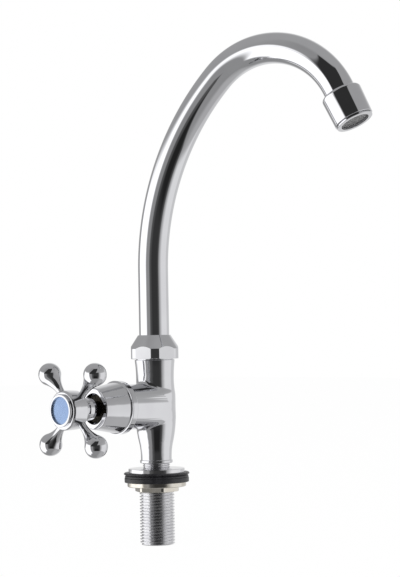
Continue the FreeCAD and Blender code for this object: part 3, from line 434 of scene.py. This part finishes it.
# Shank: one brass bar turned with a foot flange, with the G 1/2 inlet thread cut below it and a finer
# thread above it that screws into the column. It is nickel plated, bright on the flange, satin below.
crest_radius = 10.4775
root_radius = 9.3175
pitch = 1.814
shank_end = -40.3
shank_bore = 6.0
neck_crest = 8.33
neck_root = 7.75
neck_pitch = 1.2
flange_radius = 17.0
flange_foot = 3.1
flange_edge = 5.0
flange_edge_round = 0.5
flange_slope_foot = 10.6
flange_top = 6.0
neck_thread_top = 9.6
neck_top = 19.2
thread_groove = 0.2
columns_a_turn = 72
rows_a_turn = 16


def new_group(name, *inputs):
    """A geometry group with number inputs and a material, and the sockets that give their values."""
    group = bpy.data.node_groups.new(name, "GeometryNodeTree")
    for label in inputs:
        group.interface.new_socket(label, in_out="INPUT", socket_type="NodeSocketFloat")
    group.interface.new_socket("Material", in_out="INPUT", socket_type="NodeSocketMaterial")
    group.interface.new_socket("Mesh", in_out="OUTPUT", socket_type="NodeSocketGeometry")
    return group, group.nodes.new("NodeGroupInput").outputs


def close_group(group, geometry, material):
    """Ends a group: makes its copies real, shades them smoothly and gives them their material."""
    real = add_node(group, "GeometryNodeRealizeInstances", geometry).outputs[0]
    smooth = add_node(group, "GeometryNodeSetShadeSmooth", real).outputs[0]
    painted = add_node(group, "GeometryNodeSetMaterial", smooth, None, material).outputs[0]
    add_node(group, "NodeGroupOutput", painted)


def made_by(group, values, material):
    """The mesh that a group makes from its named sizes, with the modifier removed again."""
    holder = bpy.data.objects.new("holder", bpy.data.meshes.new("holder"))
    scene.collection.objects.link(holder)
    modifier = holder.modifiers.new("repeat", "NODES")
    modifier.node_group = group
    for item in group.interface.items_tree:
        if item.in_out == "INPUT":
            modifier[item.identifier] = material if item.name == "Material" else values[item.name]
    bpy.context.view_layer.update()
    mesh = bpy.data.meshes.new_from_object(
        holder.evaluated_get(bpy.context.evaluated_depsgraph_get())
    )
    holder.modifiers.remove(modifier)
    bpy.data.objects.remove(holder)
    return mesh


def turned(outline, sides=128, closed=True):
    """A mesh turned round the upright axis from an outline of (radius, height) in millimetres."""
    work = bmesh.new()
    rings = []
    for radius, up in outline:
        angles = [2 * math.pi * i / sides for i in range(sides)] if radius else [0.0]
        rings.append(
            [
                work.verts.new((radius * MM * math.cos(a), radius * MM * math.sin(a), up * MM))
                for a in angles
            ]
        )
    pairs = list(zip(rings, rings[1:] + rings[:1])) if closed else list(zip(rings, rings[1:]))
    for low, high in pairs:
        for i in range(sides):
            j = (i + 1) % sides
            corners = [low[i % len(low)], low[j % len(low)], high[j % len(high)], high[i % len(high)]]
            corners = list(dict.fromkeys(corners))
            if len(corners) > 2:
                work.faces.new(corners)
    bmesh.ops.recalc_face_normals(work, faces=work.faces)
    mesh = bpy.data.meshes.new("turned")
    work.to_mesh(mesh)
    work.free()
    return mesh


def joined(*meshes):
    """One mesh from several."""
    work = bmesh.new()
    for mesh in meshes:
        work.from_mesh(mesh)
    result = bpy.data.meshes.new("joined")
    work.to_mesh(result)
    work.free()
    return result


helix, given = new_group(
    "helical_thread", "Crest", "Root", "Pitch", "Bottom", "Top", "Chamfer", "Root flat", "Crest flat"
)
turns = maths(helix, "DIVIDE", maths(helix, "SUBTRACT", given["Top"], given["Bottom"]), given["Pitch"])
turns = maths(helix, "ADD", maths(helix, "CEIL", turns), 1.0)
columns = maths(helix, "MULTIPLY_ADD", turns, float(columns_a_turn), 1.0)
grid = add_node(helix, "GeometryNodeMeshGrid", 1.0, 1.0, columns, rows_a_turn + 1)
spot = add_node(helix, "GeometryNodeInputPosition").outputs[0]
flat_spot = add_node(helix, "ShaderNodeSeparateXYZ", spot).outputs
turn = maths(helix, "MULTIPLY", maths(helix, "ADD", flat_spot["X"], 0.5), turns)
row = maths(helix, "SUBTRACT", flat_spot["Y"], 0.5)
raw = maths(helix, "MULTIPLY_ADD", maths(helix, "ADD", turn, row), given["Pitch"], given["Bottom"])
up = maths(helix, "MINIMUM", maths(helix, "MAXIMUM", raw, given["Bottom"]), given["Top"])
risen = maths(helix, "SUBTRACT", up, given["Bottom"])
phase = maths(helix, "SUBTRACT", maths(helix, "DIVIDE", risen, given["Pitch"]), turn)
offset = maths(helix, "SUBTRACT", maths(helix, "FRACT", maths(helix, "ADD", phase, 0.5)), 0.5)
from_root = maths(helix, "MULTIPLY", maths(helix, "ABSOLUTE", offset), given["Pitch"])
flank_end = maths(helix, "SUBTRACT", given["Pitch"], given["Crest flat"])
flank = add_node(
    helix,
    "ShaderNodeMapRange",
    from_root,
    maths(helix, "MULTIPLY", given["Root flat"], 0.5),
    maths(helix, "MULTIPLY", flank_end, 0.5),
    given["Root"],
    given["Crest"],
).outputs["Result"]
end_limit = maths(helix, "ADD", maths(helix, "SUBTRACT", given["Crest"], given["Chamfer"]), risen)
radius = maths(helix, "MINIMUM", flank, end_limit)
past_end = maths(helix, "ABSOLUTE", maths(helix, "SUBTRACT", raw, up))
outside = maths(helix, "GREATER_THAN", past_end, maths(helix, "MULTIPLY", given["Pitch"], 0.1))
to_root = maths(helix, "SUBTRACT", given["Root"], radius)
radius = maths(helix, "MULTIPLY_ADD", outside, to_root, radius)
angle = maths(helix, "MULTIPLY", turn, 2 * math.pi)
wound = add_node(
    helix,
    "ShaderNodeCombineXYZ",
    maths(helix, "MULTIPLY", radius, maths(helix, "COSINE", angle)),
    maths(helix, "MULTIPLY", radius, maths(helix, "SINE", angle)),
    up,
)
placed = add_node(helix, "GeometryNodeSetPosition", grid.outputs["Mesh"])
helix.links.new(wound.outputs[0], placed.inputs["Position"])
merged = add_node(helix, "GeometryNodeMergeByDistance", placed.outputs[0])
merged.inputs["Distance"].default_value = 2 * merge_distance * MM
close_group(helix, merged.outputs[0], given["Material"])


def thread(material, **sizes):
    """A helical thread's surface from the group, with its sizes in millimetres."""
    named = {label.capitalize().replace("_", " "): size * MM for label, size in sizes.items()}
    return made_by(helix, named, material)


nickel = finish_of(
    "shank_nickel",
    first=(0.80, 0.80, 0.815),
    second=(0.74, 0.74, 0.76),
    smooth=0.2,
    rough=0.3,
    grain=150,
    dent=0.002,
)
tree = nickel.node_tree
satin_grain = 700
bright_from = 2.5
bright_roughness = 0.03
satin = by_cloud(tree, cloud_of(tree, satin_grain), 0.17, 0.24)
place = add_node(tree, "ShaderNodeTexCoord").outputs["Object"]
rise = add_node(tree, "ShaderNodeSeparateXYZ", place).outputs["Z"]
plate = ramp_of(tree, rise, bright_from * MM, (bright_from + 0.5) * MM)
gloss = add_node(tree, "ShaderNodeMix", plate, None, satin, bright_roughness).outputs[0]
tree.links.new(gloss, tree.nodes["Principled BSDF"].inputs["Roughness"])
shank_plain = turned(
    [
        (shank_bore, shank_end),
        (root_radius, shank_end),
        (root_radius - thread_groove, shank_end + thread_groove),
        (root_radius - thread_groove, flange_foot),
        (flange_radius, flange_foot),
        (flange_radius, flange_edge),
        (flange_radius - 0.3 * flange_edge_round, flange_edge + 0.7 * flange_edge_round),
        (flange_radius - flange_edge_round, flange_edge + flange_edge_round),
        (flange_slope_foot, flange_top),
        (neck_root, flange_top),
        (neck_root, neck_thread_top - 0.1),
        (neck_crest, neck_thread_top),
        (neck_crest, neck_top),
        (shank_bore, neck_top),
    ]
)
shank = joined(
    finished(shank_plain),
    thread(
        nickel,
        crest=crest_radius,
        root=root_radius,
        pitch=pitch,
        bottom=shank_end,
        top=flange_foot,
        chamfer=0.9,
        root_flat=0.35,
        crest_flat=0.55,
    ),
    thread(
        nickel,
        crest=neck_crest,
        root=neck_root,
        pitch=neck_pitch,
        bottom=flange_top,
        top=neck_thread_top,
        chamfer=0.4,
        root_flat=0.1,
        crest_flat=0.15,
    ),
)
show(shank, "shank", "body", nickel, "plated_shank", "threaded_shank")

# Deck gasket: a moulded rubber washer under the foot flange, with a thin lip round its top and soft
# edges. The photographed one is dusty black.
rubber = finish_of(
    "black_rubber",
    first=(0.010, 0.010, 0.012),
    second=(0.02, 0.02, 0.023),
    smooth=0.3,
    rough=0.45,
    grain=220,
    dent=0.02,
    metallic=0.0,
)
show(
    finished(welded("deck_gasket", 0.5), bevel=0.2),
    "deck_gasket_rubber",
    "body",
    rubber,
    "black_rubber",
    "deck_gasket",
)

# Under gasket: a plain rubber washer cut from sheet, between the worktop's underside and the backnut.
show(
    finished(welded("under_gasket", 0.5), bevel=0.3),
    "under_gasket_rubber",
    "clamp",
    rubber,
    "black_rubber",
    "under_gasket",
)

# Backnut: a turned and milled brass nut with a round flange, left raw, with the cutter's fine rings
# on its faces and slightly broken edges.
brass = finish_of(
    "machined_brass",
    first=(0.76, 0.73, 0.67),
    second=(0.70, 0.66, 0.58),
    smooth=0.1,
    rough=0.2,
    grain=250,
    dent=0.006,
)
show(
    finished(welded("backnut", 0.5), sharp_angle=25, bevel=0.22),
    "backnut_brass",
    "backnut",
    brass,
    "brass",
    "backnut",
)

# Spout nut: a turned brass cone with six milled flats, ground, polished and chromed, so that its
# arrises are soft and catch the light.
nut_chrome = chrome_of("nut_chrome", grain=160)
show(
    finished(welded("spout_nut", 0.5), sharp_angle=20, bevel=0.3, segments=3),
    "spout_nut_chromed",
    "body",
    nut_chrome,
    "chrome",
    "spout_nut",
)

# Shroud: a thin spun brass sleeve, chromed, that hides the valve's bonnet: it widens to a beaded
# foot against the port's collar and is turned in at its mouth, with two spanner slots.
show(
    finished(welded("shroud")), "shroud_shell", "body", chrome_of("shroud_chrome"), "chrome", "shroud"
)

# Cross handle: a zinc casting with four ball-ended arms, a short round hub and a small bush,
# tumbled and chromed. Its hollows keep a little of the casting's unevenness.
handle_chrome = chrome_of("handle_chrome", smooth=0.015, rough=0.05, grain=220, dent=0.012)
show(
    finished(welded("cross_handle")),
    "handle_casting",
    "handle",
    handle_chrome,
    "chrome",
    "cross_handle",
)

# Index cap: a chromed brass button pressed into the hub over the handle's screw, with a raised rim
# round the coloured disc.
show(
    finished(welded("index_cap", 0.5), bevel=0.12),
    "cap_shell",
    "handle",
    chrome_of("cap_chrome"),
    "chrome",
    "index_cap",
)

# Index disc: a blue printed disc set in the cap's recess under a clear lacquer, very slightly crowned.
# The lettering of the photographed one is left out.
handle_height = 43.1
disc_radius = 7.98
disc_floor = 72.9
disc_face = 73.3
crown = 0.12
crown_rings = (0.97, 0.8, 0.6, 0.4, 0.2)
lay_on_handle = Matrix.Translation((0, 0, handle_height * MM)) @ Matrix.Rotation(-math.pi / 2, 4, "Y")
disc_outline = [(0, disc_floor), (disc_radius, disc_floor), (disc_radius, disc_face - crown)]
disc_outline += [
    (disc_radius * share, disc_face - crown * share * share) for share in crown_rings
]
disc_outline += [(0, disc_face)]
disc = turned(disc_outline, closed=False)
disc.transform(lay_on_handle)
blue = finish_of(
    "blue_print",
    first=(0.235, 0.33, 0.53),
    second=(0.265, 0.37, 0.56),
    smooth=0.24,
    rough=0.32,
    grain=60,
    dent=0.001,
    metallic=0.75,
)
show(finished(disc), "blue_disc_print", "handle", blue, "blue_disc", "index_disc")

# Spout: a drawn brass tube bent in two arcs over mandrels, polished and chromed. It is made here as
# rings along its middle line, given as reach from the column's axis, height and lean from upright.
tube_radius = 9.1
tube_bore = 8.1
tube_foot = 79.0
bend_start = 124.6
spout_bends = [(157.0, 46.1), (50.65, 106.8)]
spout_straight_end = 6.5
spout_turn = math.radians(15.0)
degrees_a_ring = 1.2
tube_sides = 96

reach, height_now, lean_now = 0.0, bend_start, 0.0
stations = [(0.0, tube_foot, 0.0), (reach, height_now, lean_now)]
for bend, degrees in spout_bends:
    steps = math.ceil(degrees / degrees_a_ring)
    for i in range(1, steps + 1):
        lean_next = lean_now + math.radians(degrees) * i / steps
        stations.append(
            (
                reach + bend * (math.cos(lean_now) - math.cos(lean_next)),
                height_now + bend * (math.sin(lean_next) - math.sin(lean_now)),
                lean_next,
            )
        )
    reach, height_now, lean_now = stations[-1]
stations.append(
    (
        reach + spout_straight_end * math.sin(lean_now),
        height_now + spout_straight_end * math.cos(lean_now),
        lean_now,
    )
)
work = bmesh.new()
rings = []
walls = [(station, tube_radius) for station in stations]
walls += [(station, tube_bore) for station in reversed(stations)]
for (reach, up, lean), radius in walls:
    ring = []
    for i in range(tube_sides):
        across = 2 * math.pi * i / tube_sides
        outwards = reach + radius * math.cos(across) * math.cos(lean)
        aside = radius * math.sin(across)
        spot = Vector((aside, -outwards, up - radius * math.cos(across) * math.sin(lean)))
        ring.append(work.verts.new(spot * MM))
    rings.append(ring)
for low, high in zip(rings, rings[1:] + rings[:1]):
    for i in range(tube_sides):
        j = (i + 1) % tube_sides
        work.faces.new((low[i], low[j], high[j], high[i]))
bmesh.ops.rotate(work, verts=work.verts, matrix=Matrix.Rotation(spout_turn, 3, "Z"))
bmesh.ops.recalc_face_normals(work, faces=work.faces)
spout_mesh = bpy.data.meshes.new("spout_pipe")
work.to_mesh(spout_mesh)
work.free()
spout_chrome = chrome_of("spout_chrome", grain=45)
show(finished(spout_mesh), "spout_pipe", "spout", spout_chrome, "chrome", "spout_tube")

# Outlet sleeve: a turned, chromed sleeve brazed over the tube's end, with a rounded shoulder above
# and an inside thread for the aerator.
sleeve_chrome = chrome_of("sleeve_chrome")
show(
    finished(welded("spout_nozzle", 0.5), bevel=0.08),
    "outlet_sleeve",
    "spout",
    sleeve_chrome,
    "chrome",
    "spout_nozzle",
)

# Aerator ring: a chromed threaded shell screwed into the sleeve, of which the rim shows.
show(
    finished(welded("aerator_ring", 0.5), bevel=0.08),
    "aerator_shell",
    "spout",
    sleeve_chrome,
    "chrome",
    "aerator_ring",
)

# Aerator mesh: a disc of plain-woven steel wire clipped behind the ring's lip. Each wire goes over
# and under the next ones.
wire_radius = 0.11
wire_pitch = 0.5
mesh_reach = 8.35
wire_sides = 6
points_a_wave = 12
outlet_axis = Vector((0.117904, -0.440023, -0.890213))

weave, given = new_group("woven_wire", "Reach", "Wire", "Pitch")
rows = maths(weave, "CEIL", maths(weave, "DIVIDE", given["Reach"], given["Pitch"]))
row_count = maths(weave, "MULTIPLY_ADD", rows, 2.0, 1.0)
step = maths(weave, "DIVIDE", given["Pitch"], points_a_wave / 2)
step_count = maths(weave, "MULTIPLY_ADD", rows, float(points_a_wave), 1.0)
row_start = maths(weave, "MULTIPLY", maths(weave, "MULTIPLY", rows, given["Pitch"]), -1.0)
start_across = add_node(weave, "ShaderNodeCombineXYZ", row_start, 0.0, 0.0)
start_up = add_node(weave, "ShaderNodeCombineXYZ", 0.0, row_start, 0.0)
step_across = add_node(weave, "ShaderNodeCombineXYZ", step, 0.0, 0.0)
step_up = add_node(weave, "ShaderNodeCombineXYZ", 0.0, given["Pitch"], 0.0)
strand = add_node(
    weave, "GeometryNodeMeshLine", step_count, None, start_across.outputs[0], step_across.outputs[0]
)
row_points = add_node(
    weave, "GeometryNodeMeshLine", row_count, None, start_up.outputs[0], step_up.outputs[0]
)
strands = add_node(weave, "GeometryNodeInstanceOnPoints", row_points.outputs[0], None, strand.outputs[0])
strands = add_node(weave, "GeometryNodeRealizeInstances", strands.outputs[0])
spot = add_node(weave, "GeometryNodeInputPosition").outputs[0]
flat_spot = add_node(weave, "ShaderNodeSeparateXYZ", spot).outputs
along = maths(weave, "DIVIDE", maths(weave, "ADD", flat_spot["X"], flat_spot["Y"]), given["Pitch"])
wave = maths(weave, "COSINE", maths(weave, "MULTIPLY", along, math.pi))
lift = maths(weave, "MULTIPLY", wave, given["Wire"])
shift = add_node(weave, "ShaderNodeCombineXYZ", 0.0, 0.0, lift)
waved = add_node(weave, "GeometryNodeSetPosition", strands.outputs[0])
weave.links.new(shift.outputs[0], waved.inputs["Offset"])
reach = add_node(weave, "ShaderNodeVectorMath", spot, operation="LENGTH").outputs["Value"]
beyond = maths(weave, "GREATER_THAN", reach, given["Reach"])
trimmed = add_node(weave, "GeometryNodeDeleteGeometry", waved.outputs[0], beyond, domain="POINT")
wires = add_node(weave, "GeometryNodeMeshToCurve", trimmed.outputs[0])
section = add_node(weave, "GeometryNodeCurvePrimitiveCircle", wire_sides)
weave.links.new(given["Wire"], section.inputs["Radius"])
tubes = add_node(weave, "GeometryNodeCurveToMesh", wires.outputs[0], section.outputs[0])
crossing = add_node(weave, "GeometryNodeTransform", tubes.outputs[0])
crossing.inputs["Rotation"].default_value = (0, 0, math.pi / 2)
crossing.inputs["Scale"].default_value = (1, 1, -1)
both = add_node(weave, "GeometryNodeJoinGeometry", tubes.outputs[0])
weave.links.new(crossing.outputs[0], both.inputs[0])
close_group(weave, both.outputs[0], given["Material"])

steel = finish_of(
    "wire_steel",
    first=(0.62, 0.62, 0.62),
    second=(0.54, 0.54, 0.55),
    smooth=0.5,
    rough=0.62,
    grain=600,
    dent=0.002,
)
wire_sizes = {"Reach": mesh_reach * MM, "Wire": wire_radius * MM, "Pitch": wire_pitch * MM}
wire_mesh = made_by(weave, wire_sizes, steel)
disc_corners = [Vector(corner) for corner in nodes["aerator_mesh"].bound_box]
mesh_centre = sum(disc_corners, Vector()) / len(disc_corners)
onto_outlet = outlet_axis.to_track_quat("Z", "Y").to_matrix().to_4x4()
wire_mesh.transform(Matrix.Translation(mesh_centre) @ onto_outlet)
show(wire_mesh, "woven_mesh", "spout", steel, "steel_mesh", "aerator_mesh")


def coat(material, *names):
    """Gives CAD nodes their finish."""
    for name in names:
        nodes[name].data.materials.clear()
        nodes[name].data.materials.append(material)


# Small rubber pieces inside: the spout's two O-rings, the seat washer and the aerator's washer.
coat(rubber, "spout_o_rings", "aerator_washer", "seat_washer")

# Brass pieces inside, turned and left raw: the spout's tail, the jumper with its nut, the screw.
coat(brass, "spout_tail", "jumper", "seat_washer_nut", "handle_screw")

# Headwork: the valve's bonnet, gland nut and spindle are rough, dull brass, with a near-black colour that
# is painted shade:
# it stands for the shade inside the shroud's mouth, not for the metal's own colour.
shade_painted_brass = finish_of(
    "brass_painted_dark_as_shade",
    # Near-black colours: painted shade of the shroud's mouth.
    first=(0.07, 0.06, 0.045),
    second=(0.03, 0.03, 0.025),
    smooth=0.5,
    rough=0.7,
    grain=250,
    dent=0.01,
)
coat(shade_painted_brass, "spindle", "headwork_body", "gland_nut")

# Seals: pressed red fibre under the bonnet, and greased packing under the gland nut.
fibre = finish_of(
    "red_fibre",
    first=(0.42, 0.13, 0.09),
    second=(0.33, 0.1, 0.07),
    smooth=0.75,
    rough=0.9,
    grain=500,
    dent=0.02,
    metallic=0.0,
)
coat(fibre, "headwork_seal", "gland_packing")

# Moulded nylon: the spout's slip ring and the aerator's cartridge.
nylon = finish_of(
    "white_nylon",
    first=(0.8, 0.8, 0.78),
    second=(0.74, 0.74, 0.71),
    smooth=0.4,
    rough=0.55,
    grain=200,
    dent=0.005,
    metallic=0.0,
)
coat(nylon, "spout_slip_ring", "aerator_cartridge")
